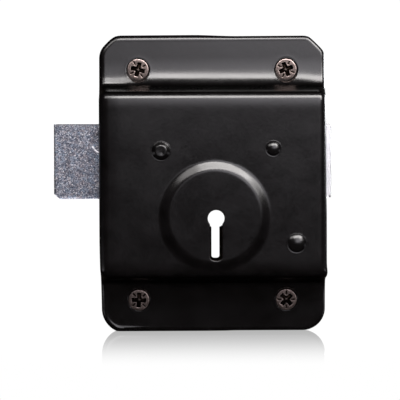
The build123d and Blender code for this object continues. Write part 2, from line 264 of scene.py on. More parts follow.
def case_front(x, z):
    """Depth of the outer skin: section, boss, and at each screw a 45 degree seat, steeper where it
    cuts into the bend, with a low lip round it."""
    depth = section(x, z)
    ring = np.hypot(x - boss_x, z - boss_z)
    depth = depth + boss_rise * soft_ramp((boss_foot - ring) / (boss_foot - boss_top))
    for place in screw_places:
        off = np.hypot(x - place[0], z - place[1])
        lip = lip_height * np.exp(-(((off - lip_radius) / lip_width) ** 2))
        seat = seat_depth + off - seat_radius + steeper * np.maximum(off - steep_from, 0)
        depth = np.where(off < seat_reach, np.minimum(depth + lip, seat), depth)
    return depth


def skin_normals(x, z, surface=case_front):
    """Outward normals in x, depth, z, from the slopes of a depth function."""
    step = 0.01
    slope_x = (surface(x + step, z) - surface(x - step, z)) / (2 * step)
    slope_z = (surface(x, z + step) - surface(x, z - step)) / (2 * step)
    normals = np.stack([-slope_x, np.ones_like(slope_x), -slope_z], -1)
    return normals / np.linalg.norm(normals, axis=-1, keepdims=True)


def grid_lines(stops):
    """Lines from (place, step) stops: each gap is cut evenly into steps no longer than its own."""
    parts = []
    for (start, step), (end, _) in zip(stops[:-1], stops[1:]):
        parts.append(np.linspace(start, end, max(1, math.ceil((end - start) / step - 1e-6)), endpoint=False))
    return np.append(np.concatenate(parts), stops[-1][0])


def corner_curve(flat):
    """One corner of the outline from its centre: a quarter circle cut off by a slanting line.

    The lesser of the two radii is taken softly, by the logarithm of the sum of their exponentials."""

    def cut_off(line):
        return corner - np.log(1 + np.exp(-corner_hard * (line - corner))) / corner_hard

    angle = np.linspace(0, np.pi / 2, 361)
    radius = cut_off(flat / np.cos(angle - np.pi / 4)) + corner - cut_off(flat / math.cos(math.pi / 4))
    x, z = radius * np.cos(angle), radius * np.sin(angle)
    out = np.stack([np.gradient(z), -np.gradient(x)], -1)
    out = out / np.linalg.norm(out, axis=-1, keepdims=True)
    out[0], out[-1] = (1, 0), (0, 1)
    return x, z, out


def rim_inset(bend_depth, radius):
    """How far inside the back outline the rim's bend starts, for a bend centred at a depth."""
    return (bend_depth + radius * math.sin(rim_angle)) * rim_lean + radius * math.cos(rim_angle)


# the skin's grid: its rows and columns lie close together where the section turns, and pass
# along the sides of the square windows that are left open for the holes
edge_in = {side: rim_inset(flange_depth - radius, radius) for side, radius in flange_rim.items()}
upper_corner = case_z + half_height - corner
lower_corner = case_z - half_height + corner
screw_window, rivet_window = 4.7, 4.2
key_left, key_right, key_low, key_high = -4.2, 4.2, -15.6, 5.2
column_reach, side_reach = 36.2, 35.5
flange_step, front_step, upper_step, above_boss = 0.6, 0.5, 0.9, 20.4
arc = np.sin(np.linspace(0, np.pi / 2, 13)) * (corner - edge_in[1])
bend_rows = np.concatenate([
    front_flat + crown_out[:30:4],
    front_flat + crown_out[30::3],
    np.linspace(crown_end, foot_end, 4)[1:-1],
    foot_at - foot_out[::-1][:30:3],
    foot_at - foot_out[::-1][30::4],
])
fixed_rows = np.array(
    [z + side * screw_window for z in screw_z for side in (-1, 1)]
    + [z + side * rivet_window for _, z in rivet_places for side in (-1, 1)]
    + [key_low, key_high, notch_low, notch_high]
)
free_rows = np.concatenate([
    lower_corner - arc,
    upper_corner + arc,
    case_z - bend_rows,
    case_z + bend_rows,
    np.arange(lower_corner + 0.7, case_z - foot_at - 0.5, flange_step),
    np.arange(case_z + foot_at + 0.6, upper_corner - 0.3, flange_step),
    np.arange(case_z - front_flat + 0.5, above_boss, front_step),
    np.arange(above_boss + 0.6, case_z + front_flat - 0.4, upper_step),
])
apart = np.abs(free_rows[:, None] - fixed_rows[None]).min(1)
rows = np.unique(np.round(np.concatenate([fixed_rows, free_rows[apart > 0.06]]), 6))
rows = rows[np.append(True, np.diff(rows) > 0.004)]
pivot_x, low_rivet_x = rivet_places[1][0], rivet_places[2][0]
columns = grid_lines([
    (case_x - column_reach, 0.35), (-35.0, 0.9), (screw_x[0] - screw_window, 0.55),
    (screw_x[0] + screw_window, 0.8), (-20.3, 0.5), (key_left, 0.42), (key_right, 0.5),
    (pivot_x - rivet_window, 0.5), (20.0, 0.6), (pivot_x + rivet_window, 0.55),
    (screw_x[1] + screw_window, 0.6), (low_rivet_x + rivet_window, 0.9), (33.0, 0.9),
    (35.2, 0.35), (case_x + column_reach, 0.35),
])
row_count, column_count = len(rows), len(columns)


def rim_bend(depth, x):
    """Radius of the rim's bend: small on the flanges, larger where the box is drawn, and all in all
    larger at the left end than at the right."""
    left = smooth((8 - x) / 16)
    flange = flange_rim[1] + (flange_rim[-1] - flange_rim[1]) * left
    box = box_rim[1] + (box_rim[-1] - box_rim[1]) * left
    return flange + (box - flange) * smooth((depth - flange_depth) / (case_depth - flange_depth))


sides = {}
for side, sign in (("left", -1), ("right", 1)):
    near = np.full(row_count, case_x + sign * side_reach)
    row_normals = skin_normals(near, rows, section)
    row_depth = section(near, rows)
    row_bend = rim_bend(row_depth, near)
    edge = half_width - rim_inset(row_depth - row_bend * row_normals[:, 1], row_bend)
    out = np.tile([float(sign), 0.0], (row_count, 1))
    for part, up, centre in (("upper", 1, upper_corner), ("lower", -1, lower_corner)):
        cx, cz, cm = corner_curve(corner_flats[side, part])
        inner_x, inner_z = cx - edge_in[sign] * cm[:, 0], cz - edge_in[1] * cm[:, 1]
        local = (rows - centre) * up
        inside = local > 0
        edge[inside] = half_width - corner + np.interp(local[inside], inner_z, inner_x)
        out[inside, 0] = sign * np.interp(local[inside], inner_z, cm[:, 0])
        out[inside, 1] = up * np.interp(local[inside], inner_z, cm[:, 1])
    out /= np.linalg.norm(out, axis=1, keepdims=True)
    sides[side] = (case_x + sign * edge, out)

free_left, free_right = screw_x[0] - screw_window, screw_x[1] + screw_window
grid_x = np.tile(columns, (row_count, 1))
for free, end, side in ((free_right, columns[-1], "right"), (free_left, columns[0], "left")):
    past = (columns - free) / (end - free)
    grid_x = np.where(past > 0, free + past * (sides[side][0][:, None] - free), grid_x)
grid_z = np.tile(rows[:, None], (1, column_count))
skin_points = [np.stack([grid_x, case_front(grid_x, grid_z), grid_z], -1).reshape(-1, 3)]
skin_out = [skin_normals(grid_x, grid_z).reshape(-1, 3)]
skin_drop = [np.zeros(row_count * column_count)]
ids = np.arange(row_count * column_count).reshape(row_count, column_count)
open_cells = np.ones((row_count - 1, column_count - 1), bool)
skin_faces = []


def between(first, second):
    """Quads from one closed loop of points to the next one inside it, both counter-clockwise."""
    return np.stack([first, np.roll(first, -1), np.roll(second, -1), second], -1)


def add_loop(points, normals, drop=0.0):
    """Appends a loop of skin points; drop is how far the outer skin falls below them at a cut edge."""
    start = sum(len(p) for p in skin_points)
    skin_points.append(points)
    skin_out.append(normals)
    skin_drop.append(np.zeros(len(points)) + drop)
    return np.arange(start, start + len(points))


def cut_window(left, right, low, high):
    """Takes the grid's cells out of a rectangle, and gives its border as a counter-clockwise loop."""
    c0, c1 = np.abs(columns - left).argmin(), np.abs(columns - right).argmin()
    r0, r1 = np.abs(rows - low).argmin(), np.abs(rows - high).argmin()
    open_cells[r0:r1, c0:c1] = False
    border = np.concatenate([ids[r0, c0:c1], ids[r0:r1, c1], ids[r1, c1:c0:-1], ids[r1:r0:-1, c0]])
    return border, skin_points[0][border][:, [0, 2]]


def face_loop(plan, drop=0.0):
    """Loop of points lying on the front skin over a plan outline."""
    x, z = plan[:, 0], plan[:, 1]
    return add_loop(np.stack([x, case_front(x, z), z], -1), skin_normals(x, z), drop)


def filled(last, plans, drop=0.0):
    """Lays a loop over each plan outline and joins it to the one outside it; gives the last."""
    for plan in plans:
        ring = face_loop(plan, drop)
        skin_faces.append(between(last, ring))
        last = ring
    return last


def round_hole(place, half, radii):
    """Fills a window with rings about a hole: each ring keeps the angles of the window's border."""
    border, plan = cut_window(place[0] - half, place[0] + half, place[1] - half, place[1] + half)
    off = plan - place
    ray = off / np.linalg.norm(off, axis=1, keepdims=True)
    rings = [np.array(place) + radius * ray for radius in radii]
    filled(border, [(plan + rings[0]) / 2] + rings)


# radii of the rings, close together over the lip and the top of the seat, down to the hole's edge
screw_rings = [4.6, 4.45, 4.3, 4.15, 4.0, 3.93, 3.84, 3.79, 3.74, 3.68, 3.6, 3.4, 2.8, 1.85]
rivet_rings = [3.9, 3.2, 1.65]
for place in screw_places:
    round_hole(place, screw_window, screw_rings)
for place in rivet_places:
    round_hole(place, rivet_window, rivet_rings)


def keyhole_edge(plan):
    """Keyhole outline matched to a window's border.

    Above the neck by angle, along the slot by height, and round the foot by length along the line."""
    neck = -math.sqrt(key_round**2 - key_half**2)
    low = -key_drop + key_foot
    across, z = np.abs(plan[:, 0]), plan[:, 1]
    width = across.max()
    angle = np.arctan2(z, across)
    top_angle = np.pi / 2
    scale = (top_angle - math.atan2(neck, key_half)) / (top_angle - math.atan2(neck, width))
    angle = top_angle - (top_angle - angle) * scale
    edge = np.stack([key_round * np.cos(angle), key_round * np.sin(angle)], -1)
    slot = np.stack([np.full_like(z, key_half), z], -1)
    quarter = key_foot * np.pi / 2
    whole = quarter + key_half - key_foot
    run = np.where(z > z.min() + 1e-6, low - z, low - z.min() + width - across)
    run = run * whole / (low - z.min() + width)
    bend = run / key_foot
    foot = np.stack([key_half - key_foot + key_foot * np.cos(bend), low - key_foot * np.sin(bend)], -1)
    flat = np.stack([key_half - key_foot - (run - quarter), np.full_like(z, -key_drop)], -1)
    foot = np.where((run > quarter)[:, None], flat, foot)
    edge = np.where((z < neck)[:, None], slot, edge)
    edge = np.where((z < low)[:, None], foot, edge)
    edge[:, 0] *= np.sign(plan[:, 0] + 1e-12)
    return edge


border, plan = cut_window(key_left, key_right, key_low, key_high)
hole = keyhole_edge(plan)
along = np.roll(hole, -1, 0) - np.roll(hole, 1, 0)
away = np.stack([along[:, 1], -along[:, 0]], -1) / np.linalg.norm(along, axis=1, keepdims=True)
rim_of_hole = hole + key_edge * away
last = filled(border, [plan * (1 - part) + rim_of_hole * part for part in (0.3, 0.6, 0.85, 1.0)])
for bend in np.radians([22.5, 45.0, 67.5, 90.0]):
    last = filled(last, [hole + key_edge * (1 - math.sin(bend)) * away], key_edge * (1 - math.cos(bend)))

quads = np.stack([ids[:-1, :-1], ids[:-1, 1:], ids[1:, 1:], ids[1:, :-1]], -1)
skin_faces.append(quads[open_cells])

# the rim: a bend all round, then the wall back to the door, open where the bolt passes
loop = np.concatenate([ids[0, :-1], ids[:-1, -1], ids[-1, :0:-1], ids[:0:-1, 0]])
loop_out = np.concatenate([
    np.tile([0.0, -1.0], (column_count - 1, 1)),
    sides["right"][1][:-1],
    np.tile([0.0, 1.0], (column_count - 1, 1)),
    sides["left"][1][:0:-1],
])
loop_out[column_count - 1] = (0, -1)
start = skin_points[0][loop]
face_out = skin_normals(start[:, 0], start[:, 2], section)
face_out[:, 0] = 0
face_out /= np.linalg.norm(face_out, axis=1, keepdims=True)
bend_radius = rim_bend(start[:, 1], start[:, 0])[:, None]
sideways = loop_out * math.cos(rim_angle)
wall_out = np.stack([sideways[:, 0], np.full(len(loop), math.sin(rim_angle)), sideways[:, 1]], -1)
centre = start - bend_radius * face_out
opening = np.arccos(np.clip((face_out * wall_out).sum(1), -1, 1))[:, None]
last = loop
for part in np.linspace(0, 1, 10)[1:]:
    way = (np.sin((1 - part) * opening) * face_out + np.sin(part * opening) * wall_out) / np.sin(opening)
    ring = add_loop(centre + bend_radius * way, way)
    skin_faces.append(between(ring, last))
    last = ring
top_of_wall = centre + bend_radius * wall_out
wall_depth = top_of_wall[:, 1]
notch_line = notch_depth * wall_depth / wall_depth.max()
loop_z = start[:, 2]
low_end, high_end = np.minimum(loop_z, np.roll(loop_z, -1)), np.maximum(loop_z, np.roll(loop_z, -1))
beside_bolt = (low_end > notch_low - 0.01) & (high_end < notch_high + 0.01)
for of_wall, of_notch in ((0.67, 0.33), (0.33, 0.67), (0, 1), (0, 0.5), (0, 0)):
    down = wall_depth - (of_wall * wall_depth + of_notch * notch_line)
    spread = loop_out * (down * rim_lean)[:, None]
    ring = add_loop(top_of_wall + np.stack([spread[:, 0], -down, spread[:, 1]], -1), wall_out)
    strip = between(ring, last)
    below_notch = of_wall == 0 and of_notch < 1
    skin_faces.append(strip[~beside_bolt] if below_notch else strip)
    last = ring

points = np.concatenate(skin_points)
normals = np.concatenate(skin_out)
drops = np.concatenate(skin_drop)
faces = np.concatenate(skin_faces)
bead_height, bead_inset, bead_width = 0.27, 1.15, 0.55
edge_pull, wall_bulge, knock, top_tilt = 0.55, 0.18, 0.5, 0.2


def pressed_unevenly(points):
    """Small shifts of the drawn metal, as smooth steps and bell curves.

    The lower left edge is drawn in and its corner has a low bead, the right wall bulges near the
    lower bend, and the top edge rises a little to the right."""
    x, depth, z = points.T
    moved = points.copy()
    past_x = np.maximum(np.abs(x - case_x) - half_width + corner, 0)
    past_z = np.maximum(np.abs(z - case_z) - half_height + corner, 0)
    from_edge = corner - np.hypot(past_x, past_z)
    bead = np.exp(-(((from_edge - bead_inset) / bead_width) ** 2))
    bead = bead * smooth((-22 - z) / 8) * smooth((-20 - x) / 16)
    right_wall = smooth((x - 33) / 4) * smooth((depth - 3) / 8)
    moved[:, 1] += bead_height * bead * smooth((depth - 0.5) / 1.0)
    moved[:, 0] += edge_pull * smooth((-5 - z) / 30) * smooth((-30.5 - x) / 8)
    moved[:, 0] += wall_bulge * smooth((12 - z) / 12) * smooth((z + 32) / 6) * right_wall
    moved[:, 0] += knock * np.exp(-(((z + 20.0) / 2.8) ** 2)) * right_wall
    moved[:, 2] += top_tilt * np.clip(x / 37, -1, 1) * smooth((z - 46) / 8)
    return moved


def thick_shell(outer, inner, faces):
    """Closes a skin and its inner copy: inner faces are turned over, and each open edge gets a strip.

    The points that no face uses are left out; the last result says which are kept."""
    count = len(outer)
    a, b = faces.ravel(), np.roll(faces, -1, 1).ravel()
    one_way, other_way = a * np.int64(count) + b, b * np.int64(count) + a
    lone = ~np.isin(one_way, other_way)
    a, b = a[lone], b[lone]
    strip = np.stack([b, a, a + count, b + count], -1)
    every = np.concatenate([faces, faces[:, ::-1] + count, strip])
    used, every = np.unique(every, return_inverse=True)
    return np.concatenate([outer, inner])[used], every.reshape(-1, 4), used


def marked(mesh, name, values):
    """Stores one number for each point of a mesh, which its material reads as an attribute."""
    numbers = np.broadcast_to(values, len(mesh.vertices)).astype(np.float32)
    mesh.attributes.new(name, "FLOAT", "POINT").data.foreach_set("value", numbers)


def shaded(name, mesh, sharp):
    """Object for a mesh, shaded smooth but for the edges over an angle in degrees."""
    mesh.shade_smooth()
    mesh.set_sharp_from_angle(angle=math.radians(sharp))
    piece = bpy.data.objects.new(name, mesh)
    scene.collection.objects.link(piece)
    even = piece.modifiers.new("even_shading", "WEIGHTED_NORMAL")
    even.keep_sharp = True
    return piece


def new_piece(name, points, faces, edge, sharp=30.0):
    """Mesh object from points as x, depth and z in millimetres; edges over the angle stay crisp.

    The attribute edge is one where the real piece has a bare or sharp edge, and nought elsewhere."""
    x, depth, z = np.asarray(points, float).T * 0.001
    mesh = bpy.data.meshes.new(name)
    mesh.from_pydata(np.stack([x, -depth, z], -1).tolist(), [], [list(face) for face in faces])
    marked(mesh, "edge", edge)
    return shaded(name, mesh, sharp)


outer = points.copy()
outer[:, 1] -= drops
inner = points - sheet * normals
inner[:, 1] = np.maximum(inner[:, 1], 0)
shell, shell_faces, kept = thick_shell(pressed_unevenly(outer), pressed_unevenly(inner), faces)
bare = np.maximum(drops / key_edge, smooth((0.9 - points[:, 1]) / 0.7))
case = new_piece("case_shell", shell, shell_faces.tolist(), np.tile(bare, 2)[kept])
# painted shade: where the bends by the box's walls face steeply up or down, the enamel is painted near black
hollow_reach = 4.5
in_bends = np.abs(np.abs(points[:, 2] - case_z) - foot_end) < hollow_reach
bend_shade = smooth((np.abs(normals[:, 2]) - 0.6) / 0.3) * in_bends
marked(case.data, "painted_shade", np.tile(bend_shade, 2)[kept])
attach(case, "case")
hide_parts("case_cover")


def finish(name, base, metallic, roughness):
    """New material with its shader: the base colour, metal and roughness are set on the shader."""
    made = bpy.data.materials.new(name)
    made.use_nodes = True
    shader = made.node_tree.nodes["Principled BSDF"]
    shader.inputs["Base Color"].default_value = (*base, 1)
    shader.inputs["Metallic"].default_value = metallic
    shader.inputs["Roughness"].default_value = roughness
    return made, made.node_tree, shader


def effect(name, values, results):
    """Empty shader group whose inputs and results are plain numbers."""
    made = bpy.data.node_groups.new(name, "ShaderNodeTree")
    for key, value in values.items():
        made.interface.new_socket(key, in_out="INPUT", socket_type="NodeSocketFloat").default_value = value
    for key in results:
        made.interface.new_socket(key, in_out="OUTPUT", socket_type="NodeSocketFloat")
    return made, made.nodes.new("NodeGroupInput").outputs, made.nodes.new("NodeGroupOutput").inputs


def placed(tree, group, **values):
    """One use of an effect in a material, with its own values; gives its results."""
    made = tree.nodes.new("ShaderNodeGroup")
    made.node_tree = group
    for key, value in values.items():
        made.inputs[key].default_value = value
    return made.outputs


def two_tone(tree, mask, first, second):
    """Colour that goes from the first to the second with the mask; either may be a socket."""
    made = tree.nodes.new("ShaderNodeMix")
    made.data_type = "RGBA"
    tree.links.new(mask, made.inputs["Factor"])
    for socket, colour in ((made.inputs[6], first), (made.inputs[7], second)):
        if isinstance(colour, tuple):
            socket.default_value = (*colour, 1)
        else:
            tree.links.new(colour, socket)
    return made.outputs[2]


def relief(tree, shader, height, tall):
    """Bump on the shader; tall is how far the height's nought and one lie apart, in metres."""
    made = tree_node(tree, "ShaderNodeBump", Distance=tall, Strength=1.0)
    tree.links.new(height, made.inputs["Height"])
    tree.links.new(made.outputs[0], shader.inputs["Normal"])


def stored(tree, name):
    """Reads a number that is stored on the mesh's points."""
    made = tree.nodes.new("ShaderNodeAttribute")
    made.attribute_name = name
    return made.outputs["Fac"]


vector_math = "ShaderNodeVectorMath"


def sized_place(tree, size):
    """Object coordinates, counted in units of a size in millimetres."""
    place = tree.nodes.new("ShaderNodeTexCoord")
    scaled = linked(tree, vector_math, place.outputs["Object"])[0]
    scaled.node.operation = "SCALE"
    tree.links.new(worked(tree, "DIVIDE", 1000.0, size), scaled.node.inputs["Scale"])
    return scaled


# grain: soft blotches of a size in millimetres, drawn out along the piece by the stretch
grain, given, result = effect("grain", {"Size": 1.0, "Stretch": 1.0, "Low": 0.35, "High": 0.65}, ["Mask"])
drawn = tree_node(grain, "ShaderNodeCombineXYZ", Y=1.0, Z=1.0)
grain.links.new(worked(grain, "DIVIDE", 1.0, given["Stretch"]), drawn.inputs["X"])
along = worked(grain, "MULTIPLY", sized_place(grain, given["Size"]), drawn.outputs[0], kind=vector_math)
cloud = tree_node(grain, "ShaderNodeTexNoise", Scale=1.0, Detail=3.0, Roughness=0.55)
grain.links.new(along, cloud.inputs["Vector"])
limits = linked(grain, "ShaderNodeMapRange", cloud.outputs[0], given["Low"], given["High"])[0]
grain.links.new(limits, result["Mask"])

# edge wear: the piece's bare edges, broken up by grain; on the bolt's dimple it also carries a painted
# highlight
edge_wear, given, result = effect("edge_wear", {"Size": 0.8, "Amount": 0.5}, ["Mask"])
patchy = placed(edge_wear, grain, Low=0.3, High=0.7)["Mask"]
edge_wear.links.new(given["Size"], patchy.node.inputs["Size"])
reached = worked(edge_wear, "ADD", patchy, given["Amount"])
reached = worked(edge_wear, "MULTIPLY", stored(edge_wear, "edge"), reached)
edge_wear.links.new(eased_step(edge_wear, reached, 0.55, 0.95, 0.0, 1.0), result["Mask"])


def blotches(tree, size, stretch=1.0, low=0.3, high=0.7):
    """Grain in a material: its mask goes from nought to one between low and high."""
    return placed(tree, grain, Size=size, Stretch=stretch, Low=low, High=high)["Mask"]


def worn_edges(tree, size, amount):
    """Edge wear in a material, broken up in patches of a size in millimetres."""
    return placed(tree, edge_wear, Size=size, Amount=amount)["Mask"]


thin_enamel, thick_enamel = (0.0006, 0.0005, 0.0006), (0.0022, 0.0018, 0.0021)
painted_bend_shade, rubbed_enamel = (0.0008, 0.0005, 0.0004), (0.11, 0.085, 0.075)
enamel, tree, shader = finish("black_enamel", (0.0009, 0.0008, 0.0009), 0.0, 0.3)
bend_shade = stored(tree, "painted_shade")
coat = two_tone(tree, blotches(tree, 5.0), thin_enamel, thick_enamel)
# painted shade in the bends by the walls
coat = two_tone(tree, bend_shade, coat, painted_bend_shade)
coat = two_tone(tree, worn_edges(tree, 0.6, 0.25), coat, rubbed_enamel)
tree.links.new(coat, shader.inputs["Base Color"])
# the painted shade also dims the reflection there, because metal of a near-black colour reflects less than
# enamel
tree.links.new(worked(tree, "MULTIPLY", bend_shade, 0.9), shader.inputs["Metallic"])
dull = blotches(tree, 9.0, 1.6, 0.35, 0.65)
speck = blotches(tree, 0.7, low=0.25, high=0.75)
rough = worked(tree, "MULTIPLY_ADD", dull, 0.05, worked(tree, "MULTIPLY_ADD", speck, 0.05, 0.17))
tree.links.new(worked(tree, "MULTIPLY_ADD", bend_shade, 0.07, rough), shader.inputs["Roughness"])
relief(tree, shader, blotches(tree, 1.5, low=0.2, high=0.8), 0.000006)
case.data.materials.append(enamel)

# Rivet pillars: three turned steel posts between the back plate and the cover, clenched flush
# behind and headed in front: a flat head at the upper left and two domes at the right. The
# heads stand on a thin brim and were enamelled with the cover; the posts inside stay bare.
plate_front, cover_back = 1.2, 15.2
neck_radius, clench_radius, post_rays = 1.6, 2.5, 56
dent_x, dent_z, dent_radius, dent_deep = 0.35, -0.5, 0.5, 0.14


def eased(corners):
    """Profile through corners given as radius, depth and ease.

    Each corner turns on a parabola tangent to both its sides, which starts its ease before it."""
    ends = np.array([c[:2] for c in corners], float)
    line = [ends[0]]
    t = np.linspace(0, 1, 6)[:, None]
    for before, at, after, (_, _, ease) in zip(ends, ends[1:], ends[2:], corners[1:]):
        if ease == 0:
            line.append(at)
            continue
        first = at + ease * (before - at) / np.linalg.norm(before - at)
        second = at + ease * (after - at) / np.linalg.norm(after - at)
        line.extend((1 - t) ** 2 * first + 2 * t * (1 - t) * at + t**2 * second)
    line.append(ends[-1])
    return np.array(line)


def wound(ids):
    """Quads that join each closed ring of points to the next one."""
    ahead = np.roll(ids, -1, 1)
    return np.stack([ids[:-1], ids[1:], ahead[1:], ahead[:-1]], -1).reshape(-1, 4).tolist()


def closed(first, last, tip):
    """Triangles from point nought to the first ring, and from the last ring to the tip."""
    nose = np.stack([np.zeros(len(first), int), first, np.roll(first, -1)], -1)
    tail = np.stack([last, np.full(len(last), tip), np.roll(last, -1)], -1)
    return nose.tolist() + tail.tolist()


def around_axis(place, radius, depth, angle):
    """Points round the axis at a place: a cosine and a sine of each angle, times the radius."""
    x, z = place[0] + radius * np.cos(angle), place[1] + radius * np.sin(angle)
    return np.stack([x, np.broadcast_to(depth, x.shape), z], -1)


def turned(profile, place, rays):
    """Surface of revolution: each radius and depth of a profile, from its front pole to its back
    pole, is carried round the axis at place. Each pole is one point."""
    rings = profile[1:-1]
    body = around_axis(place, rings[:, :1], rings[:, 1:], np.arange(rays) * 2 * np.pi / rays)
    ids = 1 + np.arange(len(rings) * rays).reshape(-1, rays)
    nose, tail = ([(place[0], pole, place[1])] for pole in profile[[0, -1], 1])
    points = np.concatenate([nose, body.reshape(-1, 3), tail])
    return points, wound(ids) + closed(ids[0], ids[-1], len(points) - 1)


def dome_head(radius, sphere):
    """Half of a round head: its depth is that of a sphere's cap, out to the radius."""
    out = np.sin(np.linspace(0, 1, 12) * np.pi / 2) * radius
    return [(r, case_depth + math.sqrt(sphere**2 - r**2) - math.sqrt(sphere**2 - radius**2), 0) for r in out]


def post(name, replaced, place, head, body, dent=0.0):
    """Turned post: head, brim, body, and the end clenched into the back plate."""
    edge = head[-1][0]
    brim = [(0.1, 0.01, 0.05), (0.27, 0.055, 0.1), (0.45, 0.005, 0.06), (0.43, 0, 0)]
    profile = eased(
        head
        + [(edge + out, case_depth + up, ease) for out, up, ease in brim]
        + [(neck_radius, case_depth, 0), (neck_radius, cover_back, 0), (body, cover_back, 0.12)]
        + [(body, plate_front, 0), (neck_radius, plate_front, 0)]
        + [(clench_radius, 0, 0.08), (0.9, 0, 0.15), (0, 0.3, 0)]
    )
    points, faces = turned(profile, place, post_rays)
    off_x, off_z = points[:, 0] - place[0], points[:, 2] - place[1]
    on_face = points[:, 1] > case_depth + 0.6
    sunk = dent * np.exp(-((np.hypot(off_x - dent_x, off_z - dent_z) / dent_radius) ** 2))
    points[:, 1] -= np.where(on_face, sunk, 0)
    clenched = (points[:, 1] < 0.4) & (np.hypot(off_x, off_z) > clench_radius - 0.4)
    piece = new_piece(name, points, faces, np.where(clenched, 1.0, 0.0), 40)
    inside = [all(points[v][1] < case_depth - 0.01 for v in face) for face in faces]
    piece.data.materials.append(enamel)
    piece.data.materials.append(bare_steel)
    piece.data.polygons.foreach_set("material_index", np.array(inside, int))
    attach(piece, "case")
    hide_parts(replaced)


clean_steel, oily_steel, bright_steel = (0.47, 0.46, 0.45), (0.3, 0.28, 0.26), (0.62, 0.61, 0.6)
bare_steel, tree, shader = finish("bare_steel", (0.42, 0.41, 0.4), 1.0, 0.36)
rubbed = blotches(tree, 0.5)
tone = two_tone(tree, blotches(tree, 6.0, low=0.35), clean_steel, oily_steel)
tone = two_tone(tree, worn_edges(tree, 0.7, 0.6), tone, bright_steel)
tree.links.new(tone, shader.inputs["Base Color"])
tree.links.new(worked(tree, "MULTIPLY_ADD", rubbed, 0.16, 0.28), shader.inputs["Roughness"])
relief(tree, shader, rubbed, 0.000004)

flat_head = [(0, 1.0, 0), (1.3, 1.04, 0.3), (1.85, 1.06, 0.3), (2.95, 0.06, 0.15)]
flat_head = [(radius, case_depth + up, ease) for radius, up, ease in flat_head]
post("post_upper_left", "pillar_upper_left", rivet_places[0], flat_head, 2.0, dent_deep)
post("post_upper_right", "pillar_upper_right", rivet_places[1], dome_head(2.4, 3.3), 2.3)
post("post_lower_right", "pillar_lower_right", rivet_places[2], dome_head(3.0, 4.7), 2.0)

# Fixing screws: four countersunk wood screws, bronzed steel, with a cross recess and a fine
# scored line between each pair of its arms. They are driven home, each left at its own angle.
head_front, head_radius = 2.72, 3.55
cross_reach, cross_half, floor_reach, floor_half, recess_deep = 2.42, 0.74, 1.8, 0.46, 1.45
head_edge = [(3.4, 0.07), (3.48, 0.11), (3.53, 0.17), (head_radius, 0.24)]
line_start, line_end, line_half, line_deep = 1.6, 3.1, 0.19, 0.2
shank_radius, core_radius, thread_pitch = 1.75, 1.2, 1.4
thread_top, point_start, screw_tip = -5.65, -14.55, -17.55
head_rays, stem_rays = 144, 48


def cross_outline(angle, reach, half):
    """Distance from the middle to the edge of a cross: to an arm's end or side, whichever is
    nearer, less a small term that eases the corner between them."""
    fold = np.abs((angle + np.pi / 4) % (np.pi / 2) - np.pi / 4)
    end = reach / np.cos(fold)
    side = half / np.maximum(np.sin(fold), 1e-4)
    return np.minimum(end, side) - np.log(1 + np.exp(-16 * np.abs(end - side))) / 16


def thread(angle, depth):
    """Radius of the screw's stem: a ridge that climbs one pitch a turn, fading in under the plain
    shank and narrowing to the point."""
    turn = (depth / thread_pitch - angle / (2 * np.pi)) % 1
    ridge = np.clip(1.35 * (1 - np.abs(2 * turn - 1)) - 0.12, 0, 1)
    fade = smooth((thread_top - depth) / 1.6)
    point = np.clip((depth - screw_tip) / (point_start - screw_tip), 0, 1) ** 0.8
    return point * (shank_radius - (shank_radius - core_radius) * (1 - ridge) * fade)


